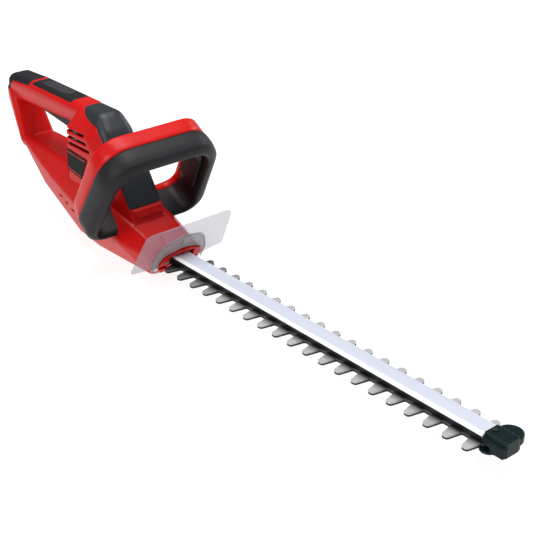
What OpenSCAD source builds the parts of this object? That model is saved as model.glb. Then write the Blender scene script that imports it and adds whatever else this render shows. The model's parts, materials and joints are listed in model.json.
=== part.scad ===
// Electric hedge trimmer with a double-acting blade, a D-shaped rear handle
// and a looped front handle. +X runs along the blade, +Y is the user's left,
// +Z is up, and the origin is on the underside of the flat base plate it
// rests on, between the motor's axis and the gear's.

/* [Cutting bar] */
// Number of fingers on the right-hand side of the blades
finger_count = 20; // [8:1:20]
// Distance from one finger to the next
finger_pitch = 25; // [24:0.5:26]
// Distance from the bar's centre line to the finger tips
finger_reach = 29.3; // [26:0.1:32]
// Thickness of each blade
blade_t = 2; // [1.6:0.1:2.2]
// Height of the plane where the two blades meet
blade_z = 25; // [24:0.5:26]
// How far each blade moves either way
blade_travel = 6; // [4:0.5:6]
// Half width of the guide bar
bar_half_w = 12.5; // [11:0.5:14]

/* [Housing] */
// Wall thickness of the moulded shells
wall = 3; // [2.5:0.1:3.2]
// Half width of the motor tower
tower_half_w = 33; // [32:0.5:34]
// Height of the rear grip's top
grip_top = 182; // [180:0.5:184]
// Half width of the rear grip
grip_half_w = 19.5; // [18:0.5:21]
// Number of cooling slots on each side of the tower
vent_count = 3; // [2:1:3]
// Distance between the cooling slots
vent_pitch = 8.7; // [8:0.1:9]

/* [Front handle] */
// Lean of the handle's plane from upright, in degrees
loop_lean = 30.5; // [28:0.5:32]
// Depth of the moulded carrier behind the soft grip
carrier_depth = 22; // [14:1:24]
// Depth of the soft grip
soft_depth = 30; // [30:1:36]

/* [Drive] */
// Gear module
gear_module = 1.5; // [1.4:0.05:1.5]
// Teeth on the motor pinion
pinion_teeth = 12; // [11:1:12]
// Teeth on the drive gear
gear_teeth = 40; // [38:2:40]

/* [Hidden] */

$fn = 48;
blend_fn = 24;
red = "crimson";
soft_black = "dimgray";
steel = "silver";
gap = 0.3;

// Cutting bar
blade_gap = 0.1;
first_finger_x = 122;
left_finger_shift = 18;
bar_start_x = 62;
bar_end_x = 616;
tongue_x = 604.5;
rail_z = blade_z + blade_gap + blade_t + gap;
rail_h = 5;
bar_z = rail_z + rail_h + 0.05;
bar_h = 5;
bolt_r = 2.5;
bush_r = 4;
bolt_xs = [170, 270, 370, 470, 570];
seat_gap = 0.06;

// Drive train
motor_x = -36;
gear_x = motor_x + gear_module * (pinion_teeth + gear_teeth) / 2;
gear_z = 31;
gear_h = 9;
stud_r = 4;
ecc_r = 10;
stator_r = 28.5;
stator_z = 70;
stator_h = 46;
shaft_r = 4;

// Front handle: its plane passes through this point, leaning forward
loop_x = 37;
loop_z = 42.5;

// Trigger pivot
pivot_x = -206;
pivot_z = 157;
pin_r = 2;

// Hand guard
guard_x = 104;
guard_z = 27;
guard_lean = 28.4;
guard_t = 2.5;

// A rounded polygon: corner k of pts is replaced by an arc of radius rad[k]
function unit(v) = v / norm(v);
function corner(a, b, c, r, n) =
    let (u = unit(a - b), w = unit(c - b), half = acos(u * w) / 2,
         centre = b + unit(u + w) * r / sin(half),
         p = b + u * r / tan(half), q = b + w * r / tan(half),
         a0 = atan2(p[1] - centre[1], p[0] - centre[0]),
         a1 = atan2(q[1] - centre[1], q[0] - centre[0]),
         turn = a1 - a0 > 180 ? a1 - a0 - 360 : (a1 - a0 < -180 ? a1 - a0 + 360 : a1 - a0))
    [for (i = [0:n]) centre + r * [cos(a0 + turn * i / n), sin(a0 + turn * i / n)]];
function rounded(pts, rad, n = 5) =
    [for (k = [0:len(pts) - 1])
        let (m = len(pts))
        each corner(pts[(k + m - 1) % m], pts[k], pts[(k + 1) % m], rad[k], n)];

// Both sides of the centre line
module both_sides() {
    children();
    mirror([0, 1, 0]) children();
}

// A block between two corners
module block(low, high) {
    translate(low) cube(high - low);
}

// A short rounded bar across the body, the corner of a hulled cross-section
module rib(x, z, half_w, r) {
    both_sides() translate([x, half_w - r, z]) sphere(r, $fn = blend_fn);
}

// ---- Housing ----

// Belly of the housing; inset moves every wall inwards
module belly(inset) {
    hull() {
        rib(-206, 92.5, 25 - inset, 7 - inset);
        rib(-195, 83, 24 - inset, 7 - inset);
        rib(-126, 72, 37 - inset, 6 - inset);
        rib(-148, 57, 32 - inset, 8 - inset);
        rib(-90, 91.5, 28 - inset, 8 - inset);
        rib(-60, 20, 36 - inset, 9 - inset);
        rib(-22, 13.5, 34 - inset, 10 - inset);
        rib(-30, 50, 46 - inset, 9 - inset);
        rib(46, 41, 46 - inset, 9 - inset);
        rib(-24, 74, 36 - inset, 8 - inset);
        rib(84, 16, 33 - inset, 10 - inset);
        rib(97, 33, 35 - inset, 6 - inset);
        rib(104, 40, 29 - inset, 5 - inset);
    }
}

// Upright tower over the motor, with the sloping block in front of it
module tower(inset) {
    hull() {
        rib(-77, 70, tower_half_w - inset, 7 - inset);
        rib(-77, 150, tower_half_w - inset, 7 - inset);
        rib(-20, 66, tower_half_w - inset, 8 - inset);
        rib(-34, 146, tower_half_w - inset, 8 - inset);
        rib(-68, 167, 21 - inset, 14 - inset);
        rib(-32, 165.5, 23 - inset, 15.5 - inset);
        rib(-19, 154, 25 - inset, 14 - inset);
        rib(20, 104, 25 - inset, 6 - inset);
        rib(47, 61, 25 - inset, 6 - inset);
    }
}

// Straight grip of the rear handle
module grip(inset) {
    hull() {
        rib(-243, grip_top - 14, grip_half_w - inset, 12 - inset);
        rib(-250, 152, 15 - inset, 8 - inset);
        rib(-236, 157, 15 - inset, 8 - inset);
        rib(-196, grip_top - 12, grip_half_w - inset, 12 - inset);
        rib(-72, grip_top - 12, grip_half_w - inset, 12 - inset);
        rib(-72, 158, 15 - inset, 8 - inset);
    }
}

// Rear strut between the grip and the belly
module strut(inset) {
    hull() {
        rib(-248, 158, grip_half_w - inset, 9 - inset);
        rib(-259, 142, 14 - inset, 8 - inset);
        rib(-216, 95, 25 - inset, 6 - inset);
        rib(-222, 88, 20 - inset, 7 - inset);
    }
}

module housing_outside(inset = 0) {
    belly(inset);
    tower(inset);
    grip(inset);
    strut(inset);
}

module housing_inside() {
    belly(wall);
    tower(wall);
    grip(wall);
}

// A zone of the side view, through the whole width
module side_zone(points) {
    translate([0, 60, 0]) rotate([90, 0, 0]) linear_extrude(120) polygon(points);
}

// Where the rubber pad wraps the rear end of the grip
module pad_zone() {
    side_zone([[-195, 200], [-195, 175.5], [-236, 173], [-262, 142], [-290, 142], [-290, 200]]);
}

// Where the insert sits on top of the grip
module insert_zone() {
    side_zone([[-189, 200], [-189, 178.5], [-92, 178.5], [-92, 200]]);
}

// Where the dark cover lies over the tower and down its front
module cover_zone() {
    side_zone([[-64, 200], [-64, 180], [-50, 172.5], [-24, 166], [-13, 154], [24, 102],
               [41, 77], [80, 77], [80, 200]]);
}

// The layer of given depth under the housing's surface
skin = 1.8;
module surface_layer(depth) {
    difference() {
        housing_outside(-1);
        housing_outside(depth);
    }
}

module cooling_slots() {
    both_sides() {
        for (k = [0:vent_count - 1])
            translate([-90, 20, 149 - vent_pitch * k]) cube([49 + 6 * k, 20, 3.4]);
        for (k = [0:2])
            translate([-104 + 15 * k, 30, 52 - 5 * k]) cube([10, 16, 2.6]);
    }
}

// Where the shells are screwed together
screw_spots = [[-240, 149], [-128, 64], [-89, 84], [-77, 160], [-80, 40], [62, 46]];

// Bosses for those screws, the trigger pin and the trigger spring
module inner_bosses() {
    intersection() {
        housing_outside(0.5);
        union() {
            for (spot = screw_spots)
                translate([spot[0], 0, spot[1]]) rotate([90, 0, 0])
                    cylinder(r = 4.5, h = 120, center = true);
            both_sides() translate([pivot_x, 30, pivot_z]) rotate([90, 0, 0]) cylinder(r = 5, h = 21);
            block([-121, -30, 168], [-113, 30, 185]);
        }
    }
}

module housing() {
    difference() {
        union() {
            difference() {
                housing_outside();
                housing_inside();
            }
            inner_bosses();
        }
        cooling_slots();
        intersection() {
            union() {
                pad_zone();
                insert_zone();
                cover_zone();
            }
            surface_layer(skin);
        }
        // Slot for the trigger
        block([-214, -8.6, 140], [-104, 8.6, 160]);
        // Mouth for the bar and blades
        block([80, -25, 16], [140, 25, 41]);
        // Recess for the base plate, its boss and its screws
        block([-48, -21, -1], [82, 21, 7]);
        block([gear_x - 9.3, -9.3, -1], [gear_x + 9.3, 9.3, 16]);
        for (spot = base_screw_spots)
            translate([spot[0], spot[1], 0]) cylinder(r = 1.8, h = 12);
        // Holes for the cord gland, the trigger pin and the shell screws
        translate([-240, 0, 114]) rotate([0, -115, 0]) {
            translate([0, 0, -8.1]) cylinder(r = 8.1, h = 40);
            translate([0, 0, 5.9]) cylinder(r = 10.1, h = 20);
        }
        translate([pivot_x, 0, pivot_z]) rotate([90, 0, 0])
            cylinder(r = pin_r + 0.05, h = 27.2, center = true);
        in_guard() for (spot = guard_screw_spots)
            translate([spot[0], spot[1], -7]) cylinder(r = 1.75, h = 10);
        for (spot = screw_spots)
            translate([spot[0], 0, spot[1]]) rotate([-90, 0, 0]) {
                translate([0, 0, -8]) cylinder(r = 1.6, h = 20);
                translate([0, 0, 5.9]) cylinder(r = 3.3, h = 80);
            }
    }
}

module housing_right() {
    color(red) intersection() {
        housing();
        block([-400, -100, -50], [400, -0.05, 300]);
    }
}

module housing_left() {
    color(red) intersection() {
        housing();
        block([-400, 0.05, -50], [400, 100, 300]);
    }
}

// The part of the surface layer that a zone keeps
module overlay_skin() {
    intersection() {
        children();
        difference() {
            housing_outside(0);
            housing_outside(skin - 0.05);
        }
    }
}

// Soft-touch cover over the motor, running down the sloping front
module top_cover() {
    color("darkslategray") overlay_skin() cover_zone();
}

// Rubber pad round the rear end of the grip
module rear_pad() {
    color(soft_black) overlay_skin() pad_zone();
}

// Insert on top of the grip
module grip_insert() {
    color(soft_black) overlay_skin() insert_zone();
}

// Plain plate on each side of the tower
module label_left() {
    points = rounded([[-79, 125], [-82, 96], [-50, 91], [-34, 122]], [1.5, 1.5, 1.5, 1.5]);
    color("black") translate([0, tower_half_w + 0.85, 0]) rotate([90, 0, 0])
        linear_extrude(0.8) polygon(points);
}

module label_right() {
    mirror([0, 1, 0]) label_left();
}

// Sleeve where the cord would enter, at the back of the strut
module cord_gland() {
    color(soft_black) translate([-240, 0, 114]) rotate([0, -115, 0]) difference() {
        union() {
            cylinder(r = 8, h = 16, center = true);
            translate([0, 0, 6]) cylinder(r = 10, h = 4);
        }
        translate([0, 0, -6]) cylinder(r = 3.8, h = 40);
    }
}

// Saddle that would grip the cord inside the belly
module cord_clamp() {
    color("ivory") translate([-186, 0, 84]) difference() {
        block([-7, -12, -4], [7, 12, 4]);
        rotate([0, 90, 0]) cylinder(r = 3.8, h = 20, center = true);
    }
}

// Screws that hold the two shells together, set in from the left
module housing_screws() {
    color(steel) for (spot = screw_spots)
        translate([spot[0], 6, spot[1]]) rotate([-90, 0, 0]) difference() {
            union() {
                cylinder(r = 3, h = 2.4);
                translate([0, 0, -13.5]) cylinder(r = 1.5, h = 14);
            }
            translate([0, 0, 1.2]) cylinder(r = 1.4, h = 2);
        }
}

// ---- Front handle ----

// Places children in the handle's own frame: X across, Y up the handle's
// plane, Z forward out of its front face
module in_loop() {
    translate([loop_x, 0, loop_z]) rotate([0, loop_lean, 0])
        rotate([90, 0, 0]) rotate([0, 90, 0]) children();
}

loop_front = rounded([[-46, 1], [-89, 4], [-76, 132], [76, 132], [89, 4], [46, 1]],
                     [3, 26, 40, 40, 26, 3], 6);
loop_edge = rounded([[-46, 0], [-91, 2], [-79, 135], [79, 135], [91, 2], [46, 0]],
                    [3, 28, 41, 41, 28, 3], 6);
loop_middle = rounded([[-46, 0], [-90, 4], [-80.5, 137], [80.5, 137], [90, 4], [46, 0]],
                      [3, 30, 42, 42, 30, 3], 6);
loop_rear = rounded([[-46, 4], [-82, 8], [-78.5, 136], [78.5, 136], [82, 8], [46, 4]],
                    [3, 26, 34, 34, 26, 3], 6);
loop_inner = rounded([[-38, 11], [-74.5, 9], [-63.5, 121], [63.5, 121], [74.5, 9], [38, 11]],
                     [2, 15, 28, 28, 15, 2], 6);
front_edge = 5;

// One slice of the handle; front is how far forward it starts
module loop_band(outline, front, depth) {
    in_loop() translate([0, 0, front - depth]) linear_extrude(depth) difference() {
        polygon(outline);
        polygon(loop_inner);
        translate([-38, -30]) square([76, 70]);
    }
}

module front_handle() {
    color(red) difference() {
        loop_band(loop_rear, -soft_depth - 0.05, carrier_depth);
        belly(-0.1);
        tower(-0.1);
    }
}

module front_grip() {
    color(soft_black) difference() {
        union() {
            loop_band(loop_middle, -2 * front_edge, soft_depth - 2 * front_edge);
            loop_band(loop_edge, -front_edge, front_edge + 0.1);
            loop_band(loop_front, 0, front_edge + 0.1);
        }
        belly(-0.1);
        tower(-0.1);
    }
}

// Bail that lies inside the handle and is pulled towards its top
bail_outer = rounded([[-69.3, 46], [-62, 116.5], [62, 116.5], [69.3, 46]], [1, 26, 26, 1], 6);
bail_inner = rounded([[-66.2, 42], [-59, 113.4], [59, 113.4], [66.2, 42]], [1, 23, 23, 1], 6);
module switch_bar() {
    color("black") in_loop() translate([0, 0, -40]) {
        linear_extrude(30) difference() {
            polygon(bail_outer);
            polygon(bail_inner);
        }
    }
}

// Springs that push the bail away from the handle's top
module switch_bar_spring() {
    color(steel) in_loop()
        for (side = [-1, 1])
            translate([side * 30, 116.6, -25]) rotate([-90, 0, 0])
                difference() {
                    cylinder(r = 2.5, h = 4.3);
                    cylinder(r = 1.7, h = 9, center = true);
                }
}

// Switch under the handle's right leg
module front_switch() {
    color("black") block([8, -30, 52.2], [28, -23, 61]);
}

// ---- Trigger ----

module trigger() {
    points = rounded([[-211, 160], [-212, 148], [-190, 145.5], [-116, 137],
                      [-107, 140], [-107, 158], [-124, 161]], [4, 3, 30, 4, 4, 2, 2]);
    color(soft_black) difference() {
        translate([0, 8, 0]) rotate([90, 0, 0]) linear_extrude(16) polygon(points);
        translate([pivot_x, 0, pivot_z]) rotate([90, 0, 0])
            cylinder(r = pin_r + 0.05, h = 40, center = true);
    }
}

module trigger_pin() {
    color(steel) translate([pivot_x, 0, pivot_z]) rotate([90, 0, 0])
        cylinder(r = pin_r, h = 27, center = true);
}

module trigger_spring() {
    color(steel) translate([-117, 0, 160.6]) difference() {
        cylinder(r = 3, h = 7);
        cylinder(r = 2.2, h = 20, center = true);
    }
}

module trigger_switch() {
    color("black") difference() {
        block([-176, -8, 168.4], [-134, 8, 177]);
        block([-150, -3, 167], [-140, 3, 170]);
    }
}

module capacitor() {
    color("khaki") translate([-160, -14, 78]) rotate([0, 90, 0]) cylinder(r = 7, h = 26);
}

// ---- Motor ----

module at_motor(z) {
    translate([motor_x, 0, z]) children();
}

module motor_stator() {
    color("slategray") at_motor(stator_z) difference() {
        cylinder(r = stator_r, h = stator_h);
        translate([0, 0, -1]) cylinder(r = 18, h = stator_h + 2);
        for (side = [-1, 1])
            translate([-11, side * 20 - 4, -1]) cube([22, 8, stator_h + 2]);
    }
}

module armature() {
    color("dimgray") at_motor(stator_z + 1) difference() {
        cylinder(r = 17.4, h = stator_h - 2);
        translate([0, 0, -1]) cylinder(r = shaft_r + 0.02, h = stator_h);
        for (k = [0:11])
            rotate([0, 0, 30 * k]) translate([15, -1, -1]) cube([4, 2, stator_h]);
    }
}

module rotor_shaft() {
    color(steel) at_motor(29.5) cylinder(r = shaft_r, h = 122);
}

module commutator() {
    color("orange") at_motor(122) difference() {
        cylinder(r = 11, h = 14);
        translate([0, 0, -1]) cylinder(r = shaft_r + 0.02, h = 20);
        for (k = [0:11])
            rotate([0, 0, 30 * k]) translate([10, -0.3, -1]) cube([2, 0.6, 20]);
    }
}

module cooling_fan() {
    color("ivory") at_motor(54.5) difference() {
        union() {
            cylinder(r = 9, h = 12);
            cylinder(r = 26, h = 2);
            for (k = [0:8])
                rotate([0, 0, 40 * k]) translate([7, -0.8, 1]) cube([18, 1.6, 11]);
        }
        translate([0, 0, -1]) cylinder(r = shaft_r + 0.02, h = 20);
    }
}

module ring(r_in, r_out, h) {
    difference() {
        cylinder(r = r_out, h = h);
        translate([0, 0, -1]) cylinder(r = r_in, h = h + 2);
    }
}

module motor_top_bearing() {
    color(steel) at_motor(142) ring(shaft_r + 0.05, 9.5, 7);
}

module motor_lower_bearing() {
    color(steel) at_motor(45.2) ring(shaft_r + 0.05, 9.5, 6);
}

// Bridge that carries the top bearing and the brush holders
module motor_bridge() {
    color("dimgray") at_motor(138.5) difference() {
        union() {
            translate([-27, -10, 0]) cube([51, 20, 12]);
            cylinder(r = 13, h = 12);
        }
        translate([0, 0, 3.4]) cylinder(r = 9.55, h = 20);
        translate([0, 0, -1]) cylinder(r = 6, h = 20);
    }
}

module brush_holders() {
    color("goldenrod") at_motor(125) for (side = [-1, 1])
        difference() {
            translate([-5, side * 19 - 6, 0]) cube([10, 12, 9]);
            translate([-3.05, side * 19 - 7, 1.95]) cube([6.1, 14, 5.1]);
        }
}

module carbon_brushes() {
    color("dimgray") at_motor(125) for (side = [-1, 1])
        translate([-3, side * 17.7 - 6.3, 2]) cube([6, 12.6, 5]);
}

// ---- Gears ----

// Involute spur gear with shortened teeth; play narrows each tooth
module spur(teeth, h, play) {
    pitch_r = gear_module * teeth / 2;
    base_r = pitch_r * cos(20);
    tip_r = pitch_r + 0.85 * gear_module;
    root_r = pitch_r - 1.15 * gear_module;
    function roll(r) = r <= base_r ? 0 : sqrt(pow(r / base_r, 2) - 1) * 180 / PI;
    function half(r) = 90 / teeth + (tan(20) * 180 / PI - 20) - (roll(r) - atan(roll(r) * PI / 180))
                       - play / pitch_r * 90 / PI;
    radii = [for (i = [0:4]) max(root_r, base_r) + (tip_r - max(root_r, base_r)) * i / 4];
    tooth = [for (r = concat([root_r], radii)) r * [cos(half(r)), sin(half(r))]];
    outline = [for (k = [0:teeth - 1])
        let (a = 360 * k / teeth)
        each [for (i = [0:len(tooth) - 1])
                  let (p = [tooth[i][0], -tooth[i][1]])
                  [p[0] * cos(a) - p[1] * sin(a), p[0] * sin(a) + p[1] * cos(a)],
              for (i = [len(tooth) - 1:-1:0])
                  let (p = tooth[i])
                  [p[0] * cos(a) - p[1] * sin(a), p[0] * sin(a) + p[1] * cos(a)]]];
    linear_extrude(h) polygon(outline);
}

module pinion() {
    color(steel) at_motor(gear_z - 1) difference() {
        spur(pinion_teeth, gear_h + 2, 0.25);
        translate([0, 0, -1]) cylinder(r = shaft_r + 0.02, h = gear_h + 4);
    }
}

module at_gear(z) {
    translate([gear_x, 0, z]) children();
}

module drive_gear() {
    hub_z = blade_z + blade_gap + blade_t + 0.1;
    color(steel) at_gear(0) difference() {
        union() {
            translate([0, 0, gear_z]) rotate([0, 0, 180 / gear_teeth]) spur(gear_teeth, gear_h, 0.25);
            translate([0, 0, hub_z]) cylinder(r = 8, h = gear_z + 1 - hub_z);
        }
        translate([0, 0, hub_z - 1]) cylinder(r = stud_r + 0.05, h = gear_h + 8);
    }
}

module eccentric(z, side, h) {
    at_gear(z) difference() {
        translate([side * 6, 0, 0]) cylinder(r = ecc_r, h = h);
        translate([0, 0, -1]) cylinder(r = stud_r + 0.05, h = h + 2);
    }
}

module upper_eccentric() {
    color(steel) eccentric(blade_z + 0.05, 1, blade_t + blade_gap + 0.05);
}

module lower_eccentric() {
    color(steel) eccentric(blade_z - blade_gap - blade_t - 0.1, -1, blade_t + blade_gap + 0.1);
}

module gear_stud() {
    color(steel) at_gear(3.4) cylinder(r = stud_r, h = 41.6);
}

// Cast plate over the gears, with both bearing seats
module gear_plate() {
    color("lightgray") difference() {
        translate([0, 0, 41.5]) linear_extrude(10)
            polygon(rounded([[-58, -26], [36, -30], [36, 30], [-58, 26]], [8, 8, 8, 8]));
        at_gear(40) cylinder(r = stud_r + 0.05, h = 5);
        at_motor(45) cylinder(r = 9.55, h = 10);
        at_motor(40) cylinder(r = 6, h = 10);
        at_gear(46.5) cylinder(r = 18, h = 10);
    }
}

// Flat plate that closes the gearbox and is what the tool rests on
base_screw_spots = [for (x = [-38, 72]) for (y = [-15, 15]) [x, y]];
module gearbox_base() {
    color("lightgray") difference() {
        union() {
            linear_extrude(3.4)
                polygon(rounded([[-46, -20], [80, -20], [80, 20], [-46, 20]], [6, 6, 6, 6]));
            translate([0, 0, 3]) linear_extrude(13)
                polygon(rounded([[gear_x - 9, -9], [gear_x + 9, -9], [gear_x + 9, 9],
                                 [gear_x - 9, 9]], [4, 4, 4, 4]));
        }
        at_gear(3.35) cylinder(r = stud_r + 0.05, h = 20);
        for (spot = base_screw_spots)
            translate([spot[0], spot[1], -1]) {
                cylinder(r = 1.8, h = 10);
                cylinder(r = 3.3, h = 2.6);
            }
    }
}

module base_screws() {
    color(steel) for (spot = base_screw_spots)
        translate([spot[0], spot[1], 0.2]) difference() {
            union() {
                cylinder(r = 3.2, h = 1.3);
                cylinder(r = 1.7, h = 12);
            }
            translate([0, 0, -1]) cylinder(r = 1.3, h = 1.9);
        }
}

// Felt block that keeps sap out of the gearbox
module felt_seal() {
    color("tan") difference() {
        block([84, -24, 17], [91, 24, 40.5]);
        block([83, -22.5, blade_z - blade_gap - blade_t - 0.4],
              [95, 22.5, blade_z + blade_gap + blade_t + 0.2]);
        block([83, -bar_half_w - 0.1, blade_z], [95, bar_half_w + 0.1, bar_z + bar_h + 0.1]);
    }
}

// ---- Nose and guard ----

module in_guard() {
    translate([guard_x, 0, guard_z]) rotate([0, guard_lean, 0]) rotate([90, 0, 90]) children();
}

guard_screw_spots = [[-32.6, -3.5], [32.6, -3.5]];
nose_outline = rounded([[-27, -9.5], [-31.5, 6], [-27, 18], [0, 25.5], [27, 18], [31.5, 6], [27, -9.5]],
                       [2, 5, 10, 30, 10, 5, 2]);
module nose_cover() {
    color(red) difference() {
        in_guard() {
            translate([0, 0, -10]) linear_extrude(17.4) polygon(nose_outline);
            // Ears behind the guard that take its screws
            for (spot = guard_screw_spots)
                translate([spot[0], spot[1], -6]) {
                    cylinder(r = 5.5, h = 5.9);
                    translate([spot[0] > 0 ? -8 : 0, -5.5, 0]) cube([8, 11, 5.9]);
                }
        }
        in_guard() for (spot = guard_screw_spots)
            translate([spot[0], spot[1], -7]) cylinder(r = 1.75, h = 10);
        // Mouth for the bar, and room for the first fingers
        block([80, -17.5, 5], [150, 17.5, 40.5]);
        block([106.5, -40, 22.1], [150, 40, 27.8]);
        belly(-0.1);
    }
}

guard_outline = rounded([[-69, 2], [-62.5, 67.5], [62.5, 67.5], [69, 2], [40, -3.5], [39, -8],
                         [-39, -8], [-40, -3.5]], [3, 10, 10, 3, 2, 3, 3, 2]);
flange_outline = rounded([[-37.5, -8], [-38, 14], [-28, 38], [0, 46], [28, 38], [38, 14], [37.5, -8]],
                         [2, 6, 12, 40, 12, 6, 2]);
arch_cutout = rounded([[-28, -10], [-32.4, 6.5], [-28, 19], [0, 26.8], [28, 19], [32.4, 6.5], [28, -10]],
                      [1, 5, 10, 30, 10, 5, 1]);
module hand_guard() {
    color("lightsteelblue", 0.5) in_guard() difference() {
        union() {
            linear_extrude(guard_t) polygon(guard_outline);
            linear_extrude(guard_t + 2.5) polygon(flange_outline);
        }
        translate([0, 0, -1]) linear_extrude(guard_t + 6) polygon(arch_cutout);
        for (spot = guard_screw_spots)
            translate([spot[0], spot[1], -1]) {
                cylinder(r = 1.8, h = 10);
                translate([0, 0, 1 + guard_t]) cylinder(r = 3.1, h = 10);
            }
    }
}

module guard_screws() {
    color(steel) in_guard() for (spot = guard_screw_spots)
        translate([spot[0], spot[1], -5]) {
            cylinder(r = 1.7, h = 6 + guard_t);
            translate([0, 0, 5 + guard_t + 0.05]) cylinder(r = 2.9, h = 2);
        }
}

// ---- Cutting bar ----

module guide_bar() {
    color("gainsboro") difference() {
        translate([bar_start_x, 0, bar_z]) rotate([90, 0, 90]) linear_extrude(bar_end_x - bar_start_x)
            polygon(rounded([[-bar_half_w, 0], [-bar_half_w, 2.6], [-bar_half_w + 2.4, bar_h],
                             [bar_half_w - 2.4, bar_h], [bar_half_w, 2.6], [bar_half_w, 0]],
                            [0.2, 0.8, 1, 1, 0.8, 0.2], 3));
        for (x = bolt_xs)
            translate([x, 0, bar_z - 1]) cylinder(r = bolt_r + seat_gap, h = 4);
        translate([bar_end_x - 6.5, 0, bar_z - 1]) cylinder(r = 1.6, h = 10);
        // The end is stepped down to a tongue inside the tip cap
        both_sides() block([tongue_x, 8, bar_z - 1], [bar_end_x + 1, 20, bar_z + bar_h + 1]);
    }
}

module blade_rail() {
    color("black") difference() {
        block([bar_start_x, -bar_half_w + 0.6, rail_z],
              [tongue_x - 0.7, bar_half_w - 0.6, rail_z + rail_h]);
        for (x = bolt_xs)
            translate([x, 0, rail_z - 1]) cylinder(r = bush_r + seat_gap, h = rail_h + 2);
        for (side = [-1, 1])
            translate([bar_start_x - 1, side * (bar_half_w - 0.6) - 0.5, rail_z + 2])
                cube([bar_end_x - bar_start_x + 2, 1, 0.8]);
    }
}

// Blade outline: fingers on the right from the tang forwards, then the end,
// then the fingers on the left back to the tang, with every corner rounded
finger_tip_w = 3.6;
finger_root_w = 7.5;
spine_half_w = 11.5;
tang_half = ecc_r + blade_travel + 11;
function finger(x, side, dir) =
    [[x - dir * finger_root_w, side * spine_half_w], [x - dir * finger_tip_w, side * finger_reach],
     [x + dir * finger_tip_w, side * finger_reach], [x + dir * finger_root_w, side * spine_half_w]];
finger_radii = [2, 3.4, 3.4, 2];
last_finger_x = first_finger_x + (finger_count - 1) * finger_pitch;
blade_points = concat(
    [[gear_x - tang_half, -21.5], [gear_x + tang_half, -21.5], [62, -spine_half_w]],
    [for (k = [0:finger_count - 1]) each finger(first_finger_x + k * finger_pitch, -1, 1)],
    [[last_finger_x + 10, -spine_half_w], [last_finger_x + 10, spine_half_w]],
    [for (k = [finger_count - 2:-1:0]) each finger(first_finger_x + k * finger_pitch + left_finger_shift, 1, -1)],
    [[62, spine_half_w], [gear_x + tang_half, 21.5], [gear_x - tang_half, 21.5]]);
blade_radii = concat([3, 6, 6], [for (k = [0:finger_count - 1]) each finger_radii], [2, 2],
                     [for (k = [0:finger_count - 2]) each finger_radii], [6, 6, 3]);
module blade_plan() {
    polygon(rounded(blade_points, blade_radii, 4));
}

module blade(z) {
    slot_half = bush_r + blade_travel + gap;
    difference() {
        translate([0, 0, z]) linear_extrude(blade_t) blade_plan();
        for (x = bolt_xs) {
            translate([x - blade_travel - gap, -bush_r - gap, z - 1])
                cube([2 * (blade_travel + gap), 2 * (bush_r + gap), blade_t + 2]);
            for (side = [-1, 1])
                translate([x + side * (blade_travel + gap), 0, z - 1])
                    cylinder(r = bush_r + gap, h = blade_t + 2);
        }
        // Window for the eccentric, open enough for any angle of the gear
        translate([gear_x - ecc_r - blade_travel - 6.5, -ecc_r - 6.5, z - 1])
            cube([2 * (ecc_r + blade_travel + 6.5), 2 * (ecc_r + 6.5), blade_t + 2]);
    }
}

module upper_blade() {
    color(steel) blade(blade_z + blade_gap);
}

module lower_blade() {
    color(steel) blade(blade_z - blade_gap - blade_t);
}

// Shoulder bolts from below, with bushes the blades slide on
module blade_bolts() {
    low = blade_z - blade_gap - blade_t - gap;
    color(steel) for (x = bolt_xs)
        translate([x, 0, low]) difference() {
            union() {
                translate([0, 0, -3.2]) cylinder(r = 6, h = 3.2);
                cylinder(r = bush_r, h = rail_z + rail_h - low);
                cylinder(r = bolt_r, h = bar_z + 2.8 - low);
            }
            translate([0, 0, -4]) cylinder(r = 2, h = 2.6);
        }
}

// ---- Tip cap ----

cap_x = 604;
cap_end_x = 631.5;
module tip_cap() {
    color("black") difference() {
        union() {
            block([cap_x, -9.5, 22], [cap_end_x, 9.5, bar_z + bar_h + 1.85]);
            block([cap_x, -12.8, 22], [cap_end_x - 1, 12.8, 33]);
            // Floor and lip under the blades' ends, round wing over the last left finger
            block([cap_x, -11, 20.2], [619, 11, 23]);
            translate([609, -7, 20.2]) cylinder(r = 9.5, h = 2.2);
            translate([617.5, 12.5, 27.6]) cylinder(r = 13.5, h = 8);
        }
        // Room for the blades' ends over their travel
        block([cap_x - 12, -30, 22.4], [613.6, 12.2, rail_z]);
        block([cap_x - 12, -30, 22.4], [cap_x, 40, 40]);
        // Pocket for the bar's tongue, and its screw's hole
        block([cap_x - 1, -8.1, rail_z - 1], [bar_end_x + 0.3, 8.1, bar_z + bar_h + 0.1]);
        block([cap_x - 1, -13, rail_z - 1], [tongue_x + 0.2, 13, bar_z + bar_h + 0.1]);
        translate([bar_end_x - 6.5, 0, bar_z]) cylinder(r = 1.6, h = 20);
    }
}

module tip_cap_screw() {
    color(steel) translate([bar_end_x - 6.5, 0, bar_z + 0.5]) difference() {
        union() {
            cylinder(r = 1.5, h = bar_h + 1.6);
            translate([0, 0, bar_h + 1.4]) cylinder(r = 2.8, h = 1.2);
        }
        translate([0, 0, bar_h + 2]) cylinder(r = 1.2, h = 3);
    }
}

housing_right();
housing_left();
top_cover();
rear_pad();
grip_insert();
label_right();
label_left();
cord_gland();
cord_clamp();
housing_screws();
front_handle();
front_grip();
switch_bar();
switch_bar_spring();
front_switch();
trigger();
trigger_pin();
trigger_spring();
trigger_switch();
capacitor();
motor_stator();
motor_bridge();
motor_top_bearing();
motor_lower_bearing();
brush_holders();
carbon_brushes();
rotor_shaft();
armature();
commutator();
cooling_fan();
pinion();
gear_plate();
gear_stud();
drive_gear();
upper_eccentric();
lower_eccentric();
gearbox_base();
base_screws();
felt_seal();
nose_cover();
hand_guard();
guard_screws();
guide_bar();
blade_rail();
upper_blade();
lower_blade();
blade_bolts();
tip_cap();
tip_cap_screw();
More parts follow.
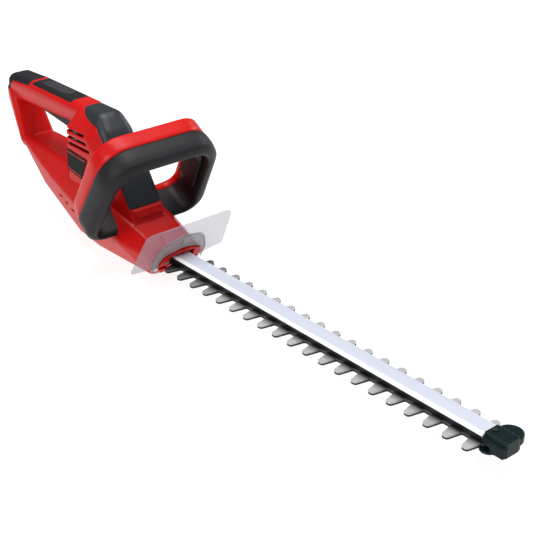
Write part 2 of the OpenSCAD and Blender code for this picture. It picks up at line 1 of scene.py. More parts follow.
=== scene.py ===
# Electric hedge trimmer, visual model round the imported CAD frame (Blender 4.5, metres)
import bpy
import bmesh
import json
import math
from mathutils import Matrix, Vector


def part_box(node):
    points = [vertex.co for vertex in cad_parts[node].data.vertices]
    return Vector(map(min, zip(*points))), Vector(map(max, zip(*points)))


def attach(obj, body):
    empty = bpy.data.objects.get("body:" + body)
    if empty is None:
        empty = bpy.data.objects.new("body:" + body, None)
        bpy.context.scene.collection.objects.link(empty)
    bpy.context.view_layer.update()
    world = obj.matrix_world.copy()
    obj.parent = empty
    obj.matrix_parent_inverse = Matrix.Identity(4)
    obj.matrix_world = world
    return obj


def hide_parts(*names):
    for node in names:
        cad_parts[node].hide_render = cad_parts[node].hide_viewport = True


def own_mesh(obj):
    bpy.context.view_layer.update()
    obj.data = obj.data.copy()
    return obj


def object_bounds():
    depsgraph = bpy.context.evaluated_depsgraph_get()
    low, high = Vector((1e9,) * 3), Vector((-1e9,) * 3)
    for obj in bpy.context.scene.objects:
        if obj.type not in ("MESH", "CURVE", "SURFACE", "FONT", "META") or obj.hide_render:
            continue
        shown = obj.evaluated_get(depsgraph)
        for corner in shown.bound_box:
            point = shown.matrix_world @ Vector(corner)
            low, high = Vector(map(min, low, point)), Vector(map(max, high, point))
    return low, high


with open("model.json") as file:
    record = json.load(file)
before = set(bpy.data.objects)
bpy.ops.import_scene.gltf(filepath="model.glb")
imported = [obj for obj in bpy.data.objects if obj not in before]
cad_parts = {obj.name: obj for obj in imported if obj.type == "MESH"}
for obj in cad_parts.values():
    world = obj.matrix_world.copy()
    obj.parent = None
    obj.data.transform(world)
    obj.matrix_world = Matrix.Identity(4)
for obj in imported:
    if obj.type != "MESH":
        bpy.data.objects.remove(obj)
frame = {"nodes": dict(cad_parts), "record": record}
cad_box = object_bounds()
MM = 0.001


# ---------------------------------------------------------------- camera
AZ, EL, ROLL = math.radians(49.93), math.radians(27.19), math.radians(-0.23)
CAMERA_PLACE = (1.1817, -0.7615, 0.6898)
right = Vector((math.cos(AZ), math.sin(AZ), 0))
up = Vector((-math.sin(AZ) * math.sin(EL), math.cos(AZ) * math.sin(EL), math.cos(EL)))
back = Vector((math.sin(AZ) * math.cos(EL), -math.cos(AZ) * math.cos(EL), math.sin(EL)))
right_r = right * math.cos(ROLL) + up * math.sin(ROLL)
up_r = up * math.cos(ROLL) - right * math.sin(ROLL)
cam = bpy.data.objects.new("camera", bpy.data.cameras.new("camera"))
bpy.context.scene.collection.objects.link(cam)
cam.matrix_world = Matrix.Translation(CAMERA_PLACE) @ Matrix(
    (right_r, up_r, back)).transposed().to_4x4()
cam.data.lens = 80.8
cam.data.sensor_width = 36
cam.data.clip_start, cam.data.clip_end = 0.05, 50
bpy.context.scene.camera = cam


# ---------------------------------------------------------------- materials
def material(name, color, rough, *, metal=0.0, grain=0.0, grain_mm=0.6, vary=0.08, vary_mm=60,
             rough_vary=0.06, coat=0.0, coat_rough=0.1, spec=0.5, stretch=(1, 1, 1), alpha=1.0,
             wear_and_highlight=0.0, sheen=0.0, glow=0.0, painted_root_shade=0.0):
    """A moulded, painted or ground surface: colour drifts slowly, fine grain lifts the
    surface, roughness is uneven, the edge value lightens convex edges (scuffing, and where
    it is strong a painted highlight), and the root value is how far painted shade darkens a
    blade towards its spine and its gearbox end."""
    m = bpy.data.materials.new(name)
    m.use_nodes = True
    nt = m.node_tree
    nt.nodes.clear()

    def node(kind, **props):
        n = nt.nodes.new(kind)
        for k, v in props.items():
            setattr(n, k, v)
        return n

    def remap(source, low, high, to_low, to_high):
        n = node("ShaderNodeMapRange")
        for k, value in zip(("From Min", "From Max", "To Min", "To Max"),
                            (low, high, to_low, to_high)):
            n.inputs[k].default_value = value
        nt.links.new(source, n.inputs["Value"])
        return n.outputs[0]

    def noise(size_mm, detail):
        n = node("ShaderNodeTexNoise")
        n.inputs["Scale"].default_value = 1000 / size_mm
        n.inputs["Detail"].default_value = detail
        nt.links.new(mp.outputs[0], n.inputs["Vector"])
        return n.outputs["Fac"]

    out = node("ShaderNodeOutputMaterial")
    b = node("ShaderNodeBsdfPrincipled")
    nt.links.new(b.outputs[0], out.inputs[0])
    tex = node("ShaderNodeTexCoord")
    mp = node("ShaderNodeMapping")
    mp.inputs["Scale"].default_value = stretch
    nt.links.new(tex.outputs["Object"], mp.inputs["Vector"])

    ramp = node("ShaderNodeValToRGB")
    lo = [max(0.0, c * (1 - vary)) for c in color]
    hi = [min(1.0, c * (1 + vary)) for c in color]
    ramp.color_ramp.elements[0].position, ramp.color_ramp.elements[0].color = 0.3, (*lo, 1)
    ramp.color_ramp.elements[1].position, ramp.color_ramp.elements[1].color = 0.7, (*hi, 1)
    nt.links.new(noise(vary_mm, 3), ramp.inputs[0])
    shade = ramp.outputs[0]
    # Lighter convex edges: scuffing, and where strong a painted highlight
    if wear_and_highlight:
        geo = node("ShaderNodeNewGeometry")
        mix = node("ShaderNodeMix", data_type="RGBA")
        mix.inputs["B"].default_value = (*[min(1, c * 1.5 + 0.03) for c in color], 1)
        nt.links.new(remap(geo.outputs["Pointiness"], 0.52, 0.62, 0, wear_and_highlight), mix.inputs["Factor"])
        nt.links.new(shade, mix.inputs["A"])
        shade = mix.outputs["Result"]
    # Painted shade: the blade darkens towards its spine and towards its gearbox end
    if painted_root_shade:
        split = node("ShaderNodeSeparateXYZ")
        nt.links.new(tex.outputs["Object"], split.inputs[0])
        reach = node("ShaderNodeMath", operation="ABSOLUTE")
        nt.links.new(split.outputs["Y"], reach.inputs[0])
        both_fades = node("ShaderNodeMath", operation="MULTIPLY")
        nt.links.new(remap(reach.outputs[0], 0.013, 0.023, painted_root_shade, 1), both_fades.inputs[0])
        nt.links.new(remap(split.outputs["X"], 0.12, 0.24, 0.1, 1), both_fades.inputs[1])
        root = node("ShaderNodeMix", data_type="RGBA", blend_type="MULTIPLY")
        root.inputs["Factor"].default_value = 1
        nt.links.new(shade, root.inputs["A"])
        nt.links.new(both_fades.outputs[0], root.inputs["B"])
        shade = root.outputs["Result"]
    nt.links.new(shade, b.inputs["Base Color"])

    nt.links.new(remap(noise(vary_mm * 0.35, 4), 0, 1, max(0.02, rough - rough_vary),
                       min(1.0, rough + rough_vary)), b.inputs["Roughness"])

    if grain:
        bump = node("ShaderNodeBump")
        bump.inputs["Strength"].default_value = grain
        bump.inputs["Distance"].default_value = 0.0004
        nt.links.new(noise(grain_mm, 2), bump.inputs["Height"])
        nt.links.new(bump.outputs[0], b.inputs["Normal"])

    b.inputs["Metallic"].default_value = metal
    b.inputs["Coat Weight"].default_value = coat
    b.inputs["Coat Roughness"].default_value = coat_rough
    b.inputs["Specular IOR Level"].default_value = spec
    b.inputs["Alpha"].default_value = alpha
    b.inputs["Sheen Weight"].default_value = sheen
    b.inputs["Emission Color"].default_value = (1, 1, 1, 1)
    b.inputs["Emission Strength"].default_value = glow
    return m


RED = material("moulded_red", (0.56, 0.005, 0.004), 0.36, grain=0.10, grain_mm=0.9, vary=0.06,
               coat=0.08, coat_rough=0.2, wear_and_highlight=0.12, spec=0.16)
SOFT = material("soft_grip", (0.011, 0.010, 0.012), 0.48, grain=0.2, grain_mm=0.5, vary=0.15,
                rough_vary=0.05, spec=0.25, wear_and_highlight=0.15)
COVER = material("soft_cover", (0.020, 0.023, 0.028), 0.40, grain=0.12, grain_mm=0.6, vary=0.12,
                 rough_vary=0.04, spec=0.35, wear_and_highlight=0.15)
PAD = material("textured_pad", (0.020, 0.021, 0.024), 0.55, grain=0.9, grain_mm=1.3, vary=0.15)
BLACK = material("black_plastic", (0.007, 0.007, 0.008), 0.42, grain=0.2, grain_mm=0.5, vary=0.2,
                 spec=0.2)
LABEL = material("label_black", (0.003, 0.003, 0.004), 0.3, vary=0.2, spec=0.05)
# On the tip cap the edge lightening is strong: painted highlight lines along its edges
CAP = material("cap_black", (0.002, 0.012, 0.013), 0.28, grain=0.06, vary=0.2, spec=0.14,
               wear_and_highlight=0.8)
BAR = material("bar_aluminium", (0.70, 0.73, 0.83), 0.34, metal=0.3, grain=0.12, grain_mm=0.35,
               stretch=(0.03, 1, 1), vary=0.03, vary_mm=8, rough_vary=0.05)
# A lighter copy of the bar's material: painted highlight on the bar's near bevel
BAR_EDGE_HIGHLIGHT = material("bar_edge_painted_highlight", (0.95, 0.95, 0.96), 0.4, metal=0.1, grain=0.1, grain_mm=0.35,
                  stretch=(0.03, 1, 1), vary=0.02, vary_mm=8)
# Blade steel with painted shade towards its spine and its gearbox end
STEEL = material("blade_steel", (0.54, 0.53, 0.54), 0.38, metal=0.35, grain=0.2, grain_mm=0.5,
                 stretch=(1, 0.08, 1), vary=0.08, vary_mm=15, rough_vary=0.08, painted_root_shade=0.12)
EDGE = material("blade_edge", (0.025, 0.025, 0.028), 0.45, metal=0.3, grain=0.2, grain_mm=0.5,
                stretch=(1, 1, 0.1), vary=0.25, vary_mm=6, spec=0.3)
ZINC = material("zinc_steel", (0.62, 0.62, 0.64), 0.30, metal=1.0, grain=0.1, grain_mm=0.4,
                vary=0.08, vary_mm=5)
CAST = material("cast_metal", (0.55, 0.55, 0.56), 0.5, metal=0.9, grain=0.5, grain_mm=0.8)
IRON = material("laminated_iron", (0.20, 0.21, 0.23), 0.5, metal=0.8, grain=0.6, grain_mm=0.6,
                stretch=(0.05, 0.05, 1))
DARK = material("dark_plastic", (0.06, 0.06, 0.065), 0.5, grain=0.4, grain_mm=0.6)
COPPER = material("copper", (0.80, 0.36, 0.18), 0.3, metal=1.0, grain=0.2, stretch=(1, 1, 0.1))
BRASS = material("brass", (0.72, 0.50, 0.18), 0.32, metal=1.0, grain=0.2)
PALE = material("pale_plastic", (0.70, 0.66, 0.55), 0.5, grain=0.3, grain_mm=0.7)
FELT = material("felt", (0.40, 0.31, 0.21), 0.95, grain=1.0, grain_mm=0.7, sheen=0.5, vary=0.2,
                vary_mm=6)
GUARD = material("clear_guard", (0.31, 0.32, 0.39), 0.12, vary=0.03, alpha=0.33, grain=0.03,
                 rough_vary=0.03, spec=0.25)
FLANGE = material("guard_flange", (0.42, 0.42, 0.44), 0.3, vary=0.06, alpha=0.5, grain=0.08,
                  spec=0.25)
OXIDE = material("black_oxide_steel", (0.02, 0.02, 0.022), 0.4, metal=0.5, grain=0.2, vary=0.2)

SLOT_MATERIALS = {
    "red_housing": RED, "soft_cover": COVER, "soft_grip": SOFT, "black_plastic": BLACK,
    "label": LABEL, "tip_plastic": CAP, "clear_guard": GUARD, "bar_aluminium": BAR,
    "blade_steel": STEEL, "steel_fixing": ZINC, "cast_metal": CAST, "iron_core": IRON,
    "dark_plastic": DARK, "copper": COPPER, "brass_part": BRASS, "pale_plastic": PALE,
    "felt": FELT}
NODE_SLOT = {s["node"]: s["material_slot"] for s in frame["record"]["subparts"]}
NODE_SLOT["blade_rail"] = "black_plastic"
NODE_MATERIAL = {"tip_cap_screw": OXIDE}


# ---------------------------------------------------------------- mesh helpers
def new_object(name, mesh, mats):
    o = bpy.data.objects.new(name, mesh)
    bpy.context.scene.collection.objects.link(o)
    for m in mats:
        o.data.materials.append(m)
    return o


def finish_piece(o, body, replaced=()):
    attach(o, body)
    if replaced:
        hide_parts(*replaced)


def shade(o, angle=35):
    for p in o.data.polygons:
        p.use_smooth = True
    o.data.set_sharp_from_angle(angle=math.radians(angle))


def mesh_from(verts, faces):
    """A mesh of points in mm, its faces turned outwards."""
    me = bpy.data.meshes.new("piece")
    me.from_pydata([Vector(v) * MM for v in verts], [], faces)
    me.update()
    bm = bmesh.new()
    bm.from_mesh(me)
    bmesh.ops.remove_doubles(bm, verts=bm.verts, dist=1e-6)
    bmesh.ops.recalc_face_normals(bm, faces=bm.faces)
    bm.to_mesh(me)
    bm.free()
    return me


def bevelled(o, width_mm, segments=3, angle=30):
    b = o.modifiers.new("edge", "BEVEL")
    b.width, b.segments, b.limit_method = width_mm * MM, segments, "ANGLE"
    b.angle_limit = math.radians(angle)
    b.harden_normals = False
    w = o.modifiers.new("normals", "WEIGHTED_NORMAL")
    w.keep_sharp = True


def applied(o):
    """Replaces an object's mesh by the result of its modifiers."""
    dg = bpy.context.evaluated_depsgraph_get()
    me = bpy.data.meshes.new_from_object(o.evaluated_get(dg))
    old = o.data
    o.modifiers.clear()
    o.data = me
    bpy.data.meshes.remove(old)


def cad_copy(name, nodes, mats):
    """A new object holding copies of CAD meshes."""
    bm = bmesh.new()
    for n in nodes:
        bm.from_mesh(frame["nodes"][n].data)
    bmesh.ops.remove_doubles(bm, verts=bm.verts, dist=1e-6)
    me = bpy.data.meshes.new(name)
    bm.to_mesh(me)
    bm.free()
    return new_object(name, me, mats)


def moulded(name, nodes, mats, voxel_mm, rounds):
    """CAD shape with its edges softened as in a moulding."""
    o = cad_copy(name, nodes, mats)
    r = o.modifiers.new("remesh", "REMESH")
    r.mode, r.voxel_size = "VOXEL", voxel_mm * MM
    s = o.modifiers.new("soften", "SMOOTH")
    s.factor, s.iterations = 0.5, rounds
    applied(o)
    for p in o.data.polygons:
        p.use_smooth = True
        p.material_index = 0
    return o


def unit(v):
    n = math.hypot(*v)
    return (v[0] / n, v[1] / n)


def corner(a, b, c, r, n):
    """The arc that rounds corner b between a and c."""
    u, w = unit((a[0] - b[0], a[1] - b[1])), unit((c[0] - b[0], c[1] - b[1]))
    half = math.acos(max(-1, min(1, u[0] * w[0] + u[1] * w[1]))) / 2
    d = unit((u[0] + w[0], u[1] + w[1]))
    cx, cy = b[0] + d[0] * r / math.sin(half), b[1] + d[1] * r / math.sin(half)
    p = (b[0] + u[0] * r / math.tan(half), b[1] + u[1] * r / math.tan(half))
    q = (b[0] + w[0] * r / math.tan(half), b[1] + w[1] * r / math.tan(half))
    a0, a1 = math.atan2(p[1] - cy, p[0] - cx), math.atan2(q[1] - cy, q[0] - cx)
    turn = (a1 - a0 + math.pi) % (2 * math.pi) - math.pi
    return [(cx + r * math.cos(a0 + turn * i / n), cy + r * math.sin(a0 + turn * i / n))
            for i in range(n + 1)]


def rounded(pts, rad, n=6):
    """A closed outline with each corner rounded by its own radius."""
    m = len(pts)
    return [q for k in range(m) for q in corner(pts[k - 1], pts[k], pts[(k + 1) % m], rad[k], n)]


def open_path(pts, rad, n=8, straight=6):
    """A rounded open path, its straight runs split evenly."""
    out = [pts[0]]
    for k in range(1, len(pts) - 1):
        arc = corner(pts[k - 1], pts[k], pts[k + 1], rad[k - 1], n)
        x0, y0 = out[-1]
        for i in range(1, straight):
            t = i / straight
            out.append((x0 + (arc[0][0] - x0) * t, y0 + (arc[0][1] - y0) * t))
        out += arc
    x0, y0 = out[-1]
    for i in range(1, straight + 1):
        t = i / straight
        out.append((x0 + (pts[-1][0] - x0) * t, y0 + (pts[-1][1] - y0) * t))
    return out


def prism(outline, h0, h1):
    """Vertices and faces of an outline extruded from h0 to h1."""
    n = len(outline)
    v = [(x, y, h0) for x, y in outline] + [(x, y, h1) for x, y in outline]
    f = [tuple(range(n - 1, -1, -1)), tuple(range(n, 2 * n))]
    f += [(i, (i + 1) % n, n + (i + 1) % n, n + i) for i in range(n)]
    return v, f


def tube(rings):
    """Vertices and faces of a skin over rings of equal length, its ends capped."""
    n = len(rings[0])
    v = [p for r in rings for p in r]
    f = []
    for j in range(len(rings) - 1):
        a, b = j * n, (j + 1) * n
        f += [(a + i, a + (i + 1) % n, b + (i + 1) % n, b + i) for i in range(n)]
    f += [tuple(range(n - 1, -1, -1)), tuple(range(len(v) - n, len(v)))]
    return v, f


def add_faces(verts, faces, new_verts, new_faces):
    """Adds one closed solid to lists that hold several."""
    first = len(verts)
    verts += new_verts
    faces += [tuple(first + i for i in face) for face in new_faces]


# ---------------------------------------------------------------- moulded pieces
o = moulded("shell", ["housing_right", "housing_left"], [RED], 1.0, 5)
finish_piece(o, "body", ["housing_right", "housing_left"])

# The cover's hump is rounded further, less so towards the cover's edge
o = moulded("motor_cover", ["top_cover"], [COVER], 0.7, 6)
COVER_EDGE = [(-64, 186), (-64, 180), (-50, 172.5), (-24, 166), (-13, 154), (24, 102), (41, 77),
              (60, 77)]
EDGE_KEPT, EDGE_FADE = 1, 5


def from_edge(x, z):
    """Distance in mm, in side view, from the cover's edge."""
    best = math.inf
    for (ax, az), (bx, bz) in zip(COVER_EDGE, COVER_EDGE[1:]):
        t = ((x - ax) * (bx - ax) + (z - az) * (bz - az)) / ((bx - ax) ** 2 + (bz - az) ** 2)
        t = max(0.0, min(1.0, t))
        best = min(best, math.hypot(x - ax - t * (bx - ax), z - az - t * (bz - az)))
    return best


hump = o.vertex_groups.new(name="hump")
for vert in o.data.vertices:
    share = (from_edge(vert.co.x / MM, vert.co.z / MM) - EDGE_KEPT) / EDGE_FADE
    hump.add([vert.index], min(1.0, max(0.0, share)), "REPLACE")
m = o.modifiers.new("round", "SMOOTH")
m.factor, m.iterations, m.vertex_group = 0.8, 110, "hump"
applied(o)
finish_piece(o, "body", ["top_cover"])

o = moulded("rear_rubber", ["rear_pad"], [SOFT], 0.7, 4)
finish_piece(o, "body", ["rear_pad"])
o = moulded("grip_top_insert", ["grip_insert"], [SOFT], 0.7, 3)
finish_piece(o, "body", ["grip_insert"])

# Dark blocks just inside the vents at the tower's rear corners: painted shade standing in for the
# dark inside of the housing
for side in (-1, 1):
    outline = [(x, side * y) for x, y in ((-86.5, 21), (-84, 23.6), (-70, 23.6), (-70, 19),
                                          (-86.5, 16.5))]
    v, f = prism(outline, 128, 154)
    o = new_object("vent_shade_left" if side > 0 else "vent_shade_right", mesh_from(v, f), [DARK])
    shade(o)
    bevelled(o, 0.5, 2)
    finish_piece(o, "body")

# Raised textured pad on the insert
pad = rounded([(-176, -9.5), (-122, -9.5), (-112, -4), (-112, 4), (-122, 9.5), (-176, 9.5)],
              [4, 3, 3, 3, 3, 4], 5)
v, f = prism(pad, 181.0, 183.1)
o = new_object("grip_pad", mesh_from(v, f), [PAD])
shade(o)
bevelled(o, 0.8, 3)
finish_piece(o, "body")


# ---------------------------------------------------------------- front handle
LEAN = math.radians(30.5)


def loop_point(x, y, d):
    """Handle frame: x across, y up its plane, d forward of the front face."""
    return (37 + math.sin(LEAN) * y + math.cos(LEAN) * d, x,
            42.5 + math.cos(LEAN) * y - math.sin(LEAN) * d)


def both(x0, y0, corners, radii):
    """A loop outline that is the same on both sides of the handle."""
    pts = [(-x0, y0)] + [(-x, y) for x, y in corners] + [(x, y) for x, y in corners[::-1]]
    return open_path(pts + [(x0, y0)], radii + radii[::-1], 10, 8)


FRONT = both(30, 1, [(89, 4), (76, 132)], [26, 40])
NEAR_FRONT = both(30, 0, [(91, 2), (79, 135)], [28, 41])
MIDDLE = both(30, 0, [(90.5, 3), (80.5, 137)], [30, 42])
BOUNDARY = both(30, 2, [(87, 5), (79.5, 136.5)], [28, 40])
REAR = both(30, 4, [(82, 8), (78.5, 136)], [26, 34])
INNER = both(30, 11, [(74.5, 9), (63.5, 121)], [15, 28])


OUTLINES = [(0, FRONT), (-6, NEAR_FRONT), (-16, MIDDLE), (-26, MIDDLE), (-34, BOUNDARY),
            (-52, REAR)]


def outer_at(d):
    """The handle's outer outline at a depth, eased between the given ones."""
    for (d0, a), (d1, b) in zip(OUTLINES, OUTLINES[1:]):
        if d >= d1:
            t = (d0 - d) / (d0 - d1)
            t = t * t * (3 - 2 * t)
            return [(p[0] + (q[0] - p[0]) * t, p[1] + (q[1] - p[1]) * t) for p, q in zip(a, b)]
    return REAR


def loop_piece(name, section, mat, replaced):
    """Sweeps a section round the handle; each section point is (share of the way from
    the inner to the outer outline, inset in mm from that end, depth)."""
    rings = []
    outers = {d: outer_at(d) for _, _, d in section}
    for k in range(len(INNER)):
        ring = []
        for t, inset, d in section:
            (xi, yi), (xo, yo) = INNER[k], outers[d][k]
            w = math.hypot(xo - xi, yo - yi)
            s = t + (inset / w) * (1 if t < 0.5 else -1)
            ring.append(loop_point(xi + (xo - xi) * s, yi + (yo - yi) * s, d))
        rings.append(ring)
    v, f = tube(rings)
    o = new_object(name, mesh_from(v, f), [mat])
    shade(o, 50)
    finish_piece(o, "body", replaced)


grip_section = [(0, 0.8, -42), (0, 0, -41), (0, 0, -30), (0, 0, -15), (0, 0, -8), (0, 0.25, -4.5),
                (0, 1.2, -1.8), (0, 2.6, -0.4), (0, 4.2, 0), (1, 7, 0), (1, 4.6, -0.2),
                (1, 3.0, -1.0), (1, 1.6, -2.6), (1, 0.6, -5), (1, 0.1, -8), (1, 0, -12),
                (1, 0, -16), (1, 0, -20), (1, 0.1, -24), (1, 0.2, -27.5), (1, 0.7, -29.2),
                (1, 1.8, -30)]
loop_piece("handle_soft_grip", grip_section, SOFT, ["front_grip"])
carrier_section = [(0, 1.2, -42.2), (0, 0.3, -43), (0, 0.3, -49), (0, 0.9, -51.2), (0, 2.4, -52),
                   (1, 3.0, -52), (1, 1.2, -51.3), (1, 0.3, -50), (1, 0.2, -45), (1, 0.2, -37),
                   (1, 0.3, -31.2), (1, 1.4, -30.2)]
loop_piece("handle_carrier", carrier_section, RED, ["front_handle"])

# Step on the red slope just below the motor cover
v, f = prism(rounded([(44.2, 76.6), (42, 70), (49, 66.5), (52.6, 67.4), (48.6, 75.6)],
                     [0.3, 0.3, 0.6, 1.0, 1.6], 4), -20.5, 20.5)
o = new_object("front_step", mesh_from([(x, y, z) for x, z, y in v], f), [RED])
shade(o)
bevelled(o, 1.0, 3)
finish_piece(o, "body")


# ---------------------------------------------------------------- springs
WIRE_R = 0.35


def coil(name, node, centres, axis, length, radius, turns):
    """Round-wire springs, wound round each centre along the axis."""
    w = Vector(axis).normalized()
    u = w.orthogonal().normalized()
    s = w.cross(u)
    verts, faces = [], []
    for centre in centres:
        rings, n = [], int(turns * 16)
        for i in range(n + 1):
            a = i * math.pi / 8
            out = u * math.cos(a) + s * math.sin(a)
            mid = Vector(centre) + out * radius + w * (WIRE_R + (length - 2 * WIRE_R) * i / n)
            rings.append([tuple(mid + (out * math.cos(b) + w * math.sin(b)) * WIRE_R)
                          for b in [k * math.pi / 3 for k in range(6)]])
        add_faces(verts, faces, *tube(rings))
    o = new_object(name, mesh_from(verts, faces), [ZINC])
    shade(o, 60)
    finish_piece(o, "body", [node])
    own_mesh(o)


coil("trigger_coil", "trigger_spring", [(-117, 0, 160.7)], (0, 0, 1), 6.8, 2.6, 5)
coil("bar_coils", "switch_bar_spring", [loop_point(x, 116.7, -25) for x in (-30, 30)],
     (math.sin(LEAN), 0, math.cos(LEAN)), 4.1, 2.1, 4)


# ---------------------------------------------------------------- cutting bar
# Pale top, a painted highlight on the near bevel only and black lower flanks; it ends where the
# tip cap begins
bar_lo, bar_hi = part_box("guide_bar")
x0, x1, z0, z1 = bar_lo.x / MM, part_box("blade_rail")[1].x / MM, bar_lo.z / MM, bar_hi.z / MM
half = bar_hi.y / MM
profile = [(-half, z0), (-half, z0 + 2.4), (-half + 0.35, z0 + 2.75), (-half + 2.6, z1 - 0.45),
           (-half + 3.6, z1 - 0.1), (-half + 5.2, z1), (0, z1), (half - 5.2, z1),
           (half - 3.6, z1 - 0.1), (half - 2.6, z1 - 0.45), (half - 0.35, z0 + 2.75),
           (half, z0 + 2.4), (half, z0)]
rings = [[(x, y, z) for y, z in profile] for x in [x0 + (x1 - x0) * i / 12 for i in range(13)]]
v, f = tube(rings)
o = new_object("bar_top", mesh_from(v, f), [BAR, BAR_EDGE_HIGHLIGHT, BLACK])
for p in o.data.polygons:
    if abs(p.normal.y) > 0.9:
        p.material_index = 2
    # Near bevel faces only: painted highlight
    elif p.normal.y < -0.15 and p.normal.z > 0.1:
        p.material_index = 1
shade(o, 18)
finish_piece(o, "body", ["guide_bar"])


# ---------------------------------------------------------------- blades
def cut(o, verts, faces):
    """Takes a closed solid out of an object."""
    c = new_object("cutter", mesh_from(verts, faces), [])
    b = o.modifiers.new("cut", "BOOLEAN")
    b.operation, b.object, b.solver = "DIFFERENCE", c, "MANIFOLD"
    applied(o)
    me = c.data
    bpy.data.objects.remove(c)
    bpy.data.meshes.remove(me)


FINGERS, PITCH, FIRST_X, LEFT_SHIFT = 20, 25, 122, 18
REACH, SPINE, ROOT_HALF, TIP_HALF, TANG = 29.3, 11.5, 7.5, 3.6, 21.5
FINGER_RADII = [2, 3.4, 3.4, 2]
BOLT_XS = (170, 270, 370, 470, 570)
SLOT_LONG, SLOT_WIDE = 10.6, 4.3
GROUND = 0.25


def finger(x, side, way):
    return [(x - way * ROOT_HALF, side * SPINE), (x - way * TIP_HALF, side * REACH),
            (x + way * TIP_HALF, side * REACH), (x + way * ROOT_HALF, side * SPINE)]


def blade_outline():
    """The CAD blade's plan: tang, near fingers, far fingers, which are one fewer."""
    end = FIRST_X + (FINGERS - 1) * PITCH + 10
    pts, rad = [(-24, -TANG), (30, -TANG), (62, -SPINE)], [3, 6, 6]
    for k in range(FINGERS):
        pts += finger(FIRST_X + k * PITCH, -1, 1)
        rad += FINGER_RADII
    pts += [(end, -SPINE), (end, SPINE)]
    rad += [2, 2]
    for k in range(FINGERS - 2, -1, -1):
        pts += finger(FIRST_X + k * PITCH + LEFT_SHIFT, 1, -1)
        rad += FINGER_RADII
    pts += [(62, SPINE), (30, TANG), (-24, TANG)]
    return rounded(pts, rad + [6, 6, 3], 6)


def inset(outline, d):
    """The outline moved inwards; it runs anticlockwise."""
    n, out = len(outline), []
    for i in range(n):
        (ax, ay), (bx, by), (cx, cy) = outline[i - 1], outline[i], outline[(i + 1) % n]
        u, w = unit((bx - ax, by - ay)), unit((cx - bx, cy - by))
        m = unit((-u[1] - w[1], u[0] + w[0]))
        k = max(0.5, m[0] * -u[1] + m[1] * u[0])
        out.append((bx + m[0] * d / k, by + m[1] * d / k))
    return out


def blade_piece(name, node, edge):
    """A blade with its outline slightly ground, its bolt slots and its drive window."""
    lo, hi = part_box(node)
    z0, z1 = lo.z / MM, hi.z / MM
    base = blade_outline()
    clean = [q for i, q in enumerate(base)
             if math.hypot(q[0] - base[i - 1][0], q[1] - base[i - 1][1]) > 1e-4]
    small = inset(clean, GROUND)
    levels = [(small, z0), (clean, z0 + GROUND), (clean, z1 - GROUND), (small, z1)]
    v, f = tube([[(x, y, z) for x, y in ring] for ring, z in levels])
    o = new_object(name, mesh_from(v, f), [])
    for x in BOLT_XS:
        slot = rounded([(x + SLOT_LONG, -SLOT_WIDE), (x + SLOT_LONG, SLOT_WIDE),
                        (x - SLOT_LONG, SLOT_WIDE), (x - SLOT_LONG, -SLOT_WIDE)],
                       [SLOT_WIDE - 0.01] * 4, 8)
        cut(o, *prism(slot, z0 - 1, z1 + 1))
    cut(o, *prism([(-19.5, -16.5), (25.5, -16.5), (25.5, 16.5), (-19.5, 16.5)], z0 - 1, z1 + 1))
    o.data.materials.clear()
    for m in (STEEL, edge):
        o.data.materials.append(m)
    for p in o.data.polygons:
        p.material_index = 0 if abs(p.normal.z) > 0.98 else 1
    shade(o, 25)
    finish_piece(o, node, [node])


blade_piece("blade_upper", "upper_blade", STEEL)
blade_piece("blade_lower", "lower_blade", EDGE)


# ---------------------------------------------------------------- guard
TILT = math.radians(28.4)


def guard_point(x, y, h):
    """Guard frame: x across, y up its plane, h forward of its rear face."""
    return (104 + math.sin(TILT) * y + math.cos(TILT) * h, x,
            27 + math.cos(TILT) * y - math.sin(TILT) * h)


plate = rounded([(-69, 2), (-62.5, 67.5), (62.5, 67.5), (69, 2), (38, -3.5), (38.3, 14.2),
                 (28.2, 38.3), (0, 46.3), (-28.2, 38.3), (-38.3, 14.2), (-38, -3.5)],
                [3, 9, 9, 3, 0.2, 6, 12, 40, 12, 6, 0.2], 8)
v, f = prism(plate, 0.05, 2.4)
o = new_object("guard_plate", mesh_from([guard_point(*q) for q in v], f), [GUARD])
shade(o)
bevelled(o, 0.5, 2)
finish_piece(o, "body", ["hand_guard"])

outer = open_path([(-37.5, -8), (-38, 14), (-28, 38), (0, 46), (28, 38), (38, 14), (37.5, -8)],
                  [6, 12, 40, 12, 6], 8, 5)
inner = open_path([(-28, -8), (-32.4, 6.5), (-28, 19), (0, 26.8), (28, 19), (32.4, 6.5), (28, -8)],
                  [5, 10, 30, 10, 5], 8, 5)
section = [(0.0, 0.1), (0.0, 4.5), (0.03, 4.9), (0.10, 4.9), (0.14, 4.4), (0.17, 3.4),
           (0.45, 3.2), (0.88, 3.4), (0.91, 4.4), (0.94, 4.8), (0.98, 4.8), (1.0, 4.4),
           (1.0, 0.1)]
rings = [[guard_point(a[0] + (b[0] - a[0]) * t, a[1] + (b[1] - a[1]) * t, h) for t, h in section]
         for a, b in zip(inner, outer)]
verts, faces = tube(rings)
v, f = prism([(-4, 27.5), (4, 27.5), (4, 44.5), (-4, 44.5)], 3.0, 4.7)
add_faces(verts, faces, [guard_point(*q) for q in v], f)
o = new_object("guard_flange", mesh_from(verts, faces), [FLANGE])
shade(o)
finish_piece(o, "body", ["hand_guard"])

o = moulded("nose_arch", ["nose_cover"], [RED], 0.7, 4)
finish_piece(o, "body", ["nose_cover"])
o = moulded("tip_cover", ["tip_cap"], [CAP], 0.6, 4)
finish_piece(o, "body", ["tip_cap"])
o = moulded("trigger_lever", ["trigger"], [BLACK], 0.7, 4)
finish_piece(o, "trigger", ["trigger"])

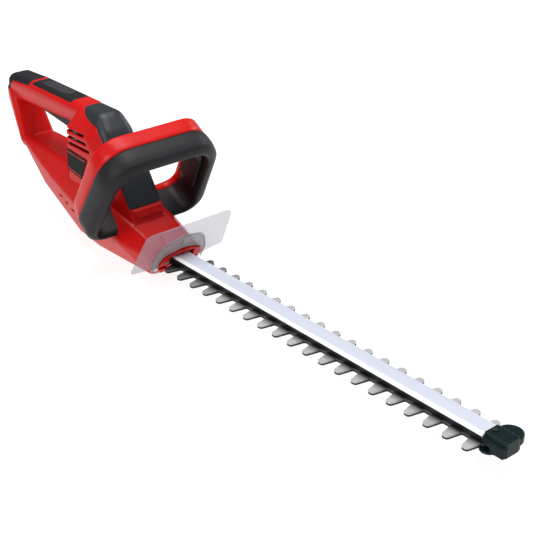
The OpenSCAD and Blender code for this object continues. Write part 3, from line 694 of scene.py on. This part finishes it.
# Plain plates on the tower, each with two thin lines
for side, node in ((-1, "label_right"), (1, "label_left")):
    outline = rounded([(-79, 125), (-82, 96), (-50, 91), (-34, 122)], [1.5] * 4, 5)
    v, f = prism(outline, 33.06, 33.8)
    o = new_object(f"{node}_plate", mesh_from([(x, side * h, z) for x, z, h in v], f), [LABEL])
    shade(o)
    bevelled(o, 0.2, 2)
    finish_piece(o, "body", [node])
    verts, faces = [], []
    for line in ([(-78.6, 121.6), (-37.3, 118.9), (-37.8, 117.9), (-78.7, 120.5)],
                 [(-80.9, 99.6), (-50.6, 94.9), (-51.1, 93.8), (-81.0, 98.4)]):
        v, f = prism(line, 33.7, 33.86)
        add_faces(verts, faces, [(x, side * h, z) for x, z, h in v], f)
    o = new_object(f"{node}_lines", mesh_from(verts, faces), [RED])
    finish_piece(o, "body")


# ---------------------------------------------------------------- pieces that keep their CAD shape
for n, o in frame["nodes"].items():
    if o.hide_render:
        continue
    o.data.materials.clear()
    o.data.materials.append(NODE_MATERIAL.get(n, SLOT_MATERIALS[NODE_SLOT[n]]))
    for p in o.data.polygons:
        p.use_smooth = True
        p.material_index = 0
    o.data.set_sharp_from_angle(angle=math.radians(35))
    w = o.modifiers.new("normals", "WEIGHTED_NORMAL")
    w.keep_sharp = True


# ---------------------------------------------------------------- floor and light
me = bpy.data.meshes.new("floor")
me.from_pydata([(-30, -30, 0), (30, -30, 0), (30, 30, 0), (-30, 30, 0)], [], [(0, 1, 2, 3)])
floor = bpy.data.objects.new("floor", me)
bpy.context.scene.collection.objects.link(floor)
floor.location.z = min(cad_box[0].z, 0) - 0.0002
floor.data.materials.append(material("floor_pale", (0.28, 0.28, 0.28), 0.6, vary=0.004,
                                     vary_mm=900, spec=0.05, glow=0.86))

world = bpy.data.worlds.new("studio")
bpy.context.scene.world = world
world.use_nodes = True
world.node_tree.nodes["Background"].inputs[0].default_value = (0.95, 0.97, 1.0, 1)
world.node_tree.nodes["Background"].inputs[1].default_value = 0.22


def softbox(name, place, aim, size, power, tint=(1, 1, 1)):
    l = bpy.data.lights.new(name, "AREA")
    l.shape, l.size, l.size_y, l.energy, l.color = "RECTANGLE", size[0], size[1], power, tint
    o = bpy.data.objects.new(name, l)
    bpy.context.scene.collection.objects.link(o)
    o.location = place
    o.rotation_mode = "QUATERNION"
    o.rotation_quaternion = (Vector(aim) - Vector(place)).to_track_quat("-Z", "Y")


softbox("overhead", (0.1, 0.3, 2.4), (0.1, 0, 0), (2.2, 1.6), 62)
softbox("key", (0.5, -1.9, 1.5), (0.1, 0, 0.1), (1.0, 0.8), 20)
softbox("rim", (0.2, 2.3, 1.2), (0.1, 0, 0.1), (1.6, 0.5), 16, (0.95, 0.97, 1.0))

bpy.context.scene.view_settings.view_transform = "Standard"
bpy.context.scene.view_settings.look = "None"
bpy.context.scene.view_settings.exposure = 0
bpy.context.scene.view_settings.gamma = 1
